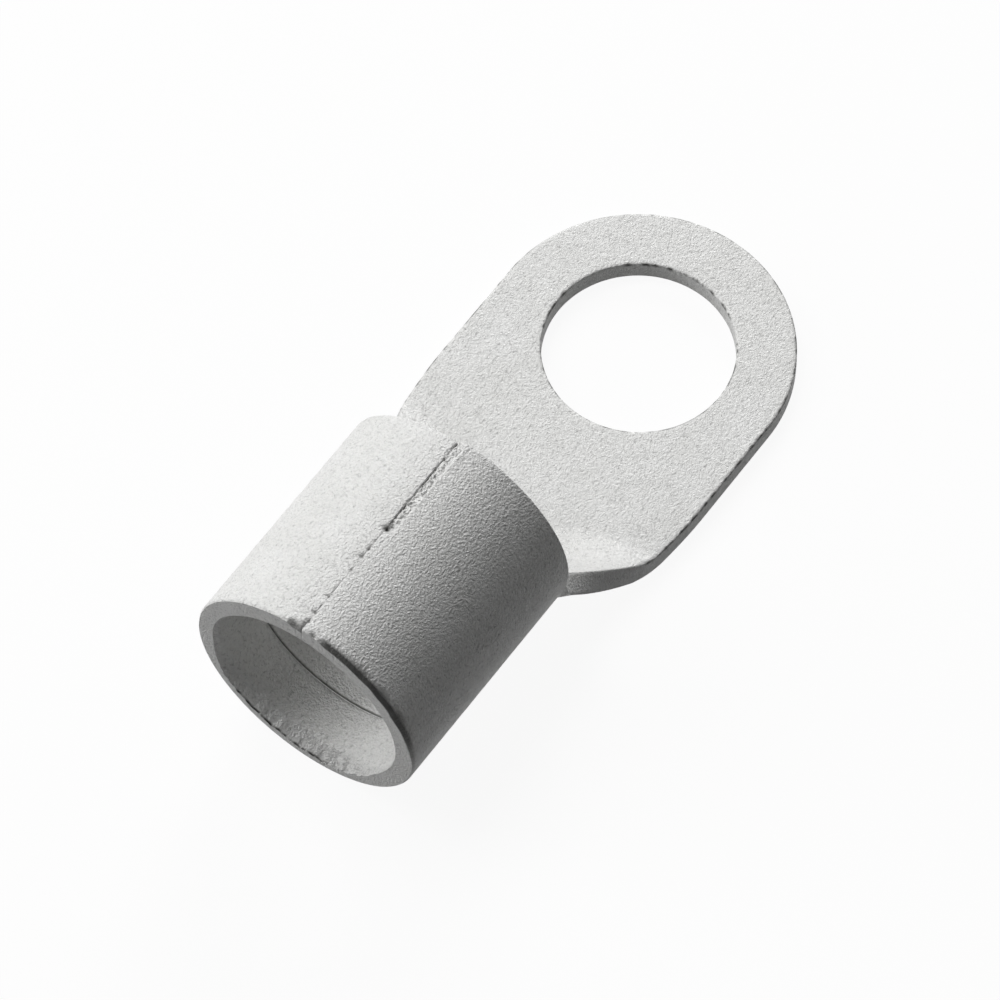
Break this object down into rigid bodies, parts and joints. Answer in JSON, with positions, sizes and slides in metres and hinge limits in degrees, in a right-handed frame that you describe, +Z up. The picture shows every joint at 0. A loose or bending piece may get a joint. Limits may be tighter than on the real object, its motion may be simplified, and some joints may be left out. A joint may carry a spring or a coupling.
{
  "type": "ring terminal",
  "caption": "Uninsulated ring terminal: a rolled barrel with a brazed butt seam runs through a curled neck into a flat tongue with a round end and a stud hole.",
  "frame": {"origin": "centre of the barrel's mouth, on the bore's axis", "axes": "+X along the barrel from its mouth to the tongue, +Z up through the brazed seam and square to the tongue's faces, +Y across the tongue"},
  "size_m": [0.0475, 0.021, 0.017],
  "materials": {
    "tin_plate": "matt tin plate over copper, with fine barrel-finishing dents"
  },
  "bodies": {
    "root": {"ring_terminal": "tin_plate"}
  },
  "joints": []
}
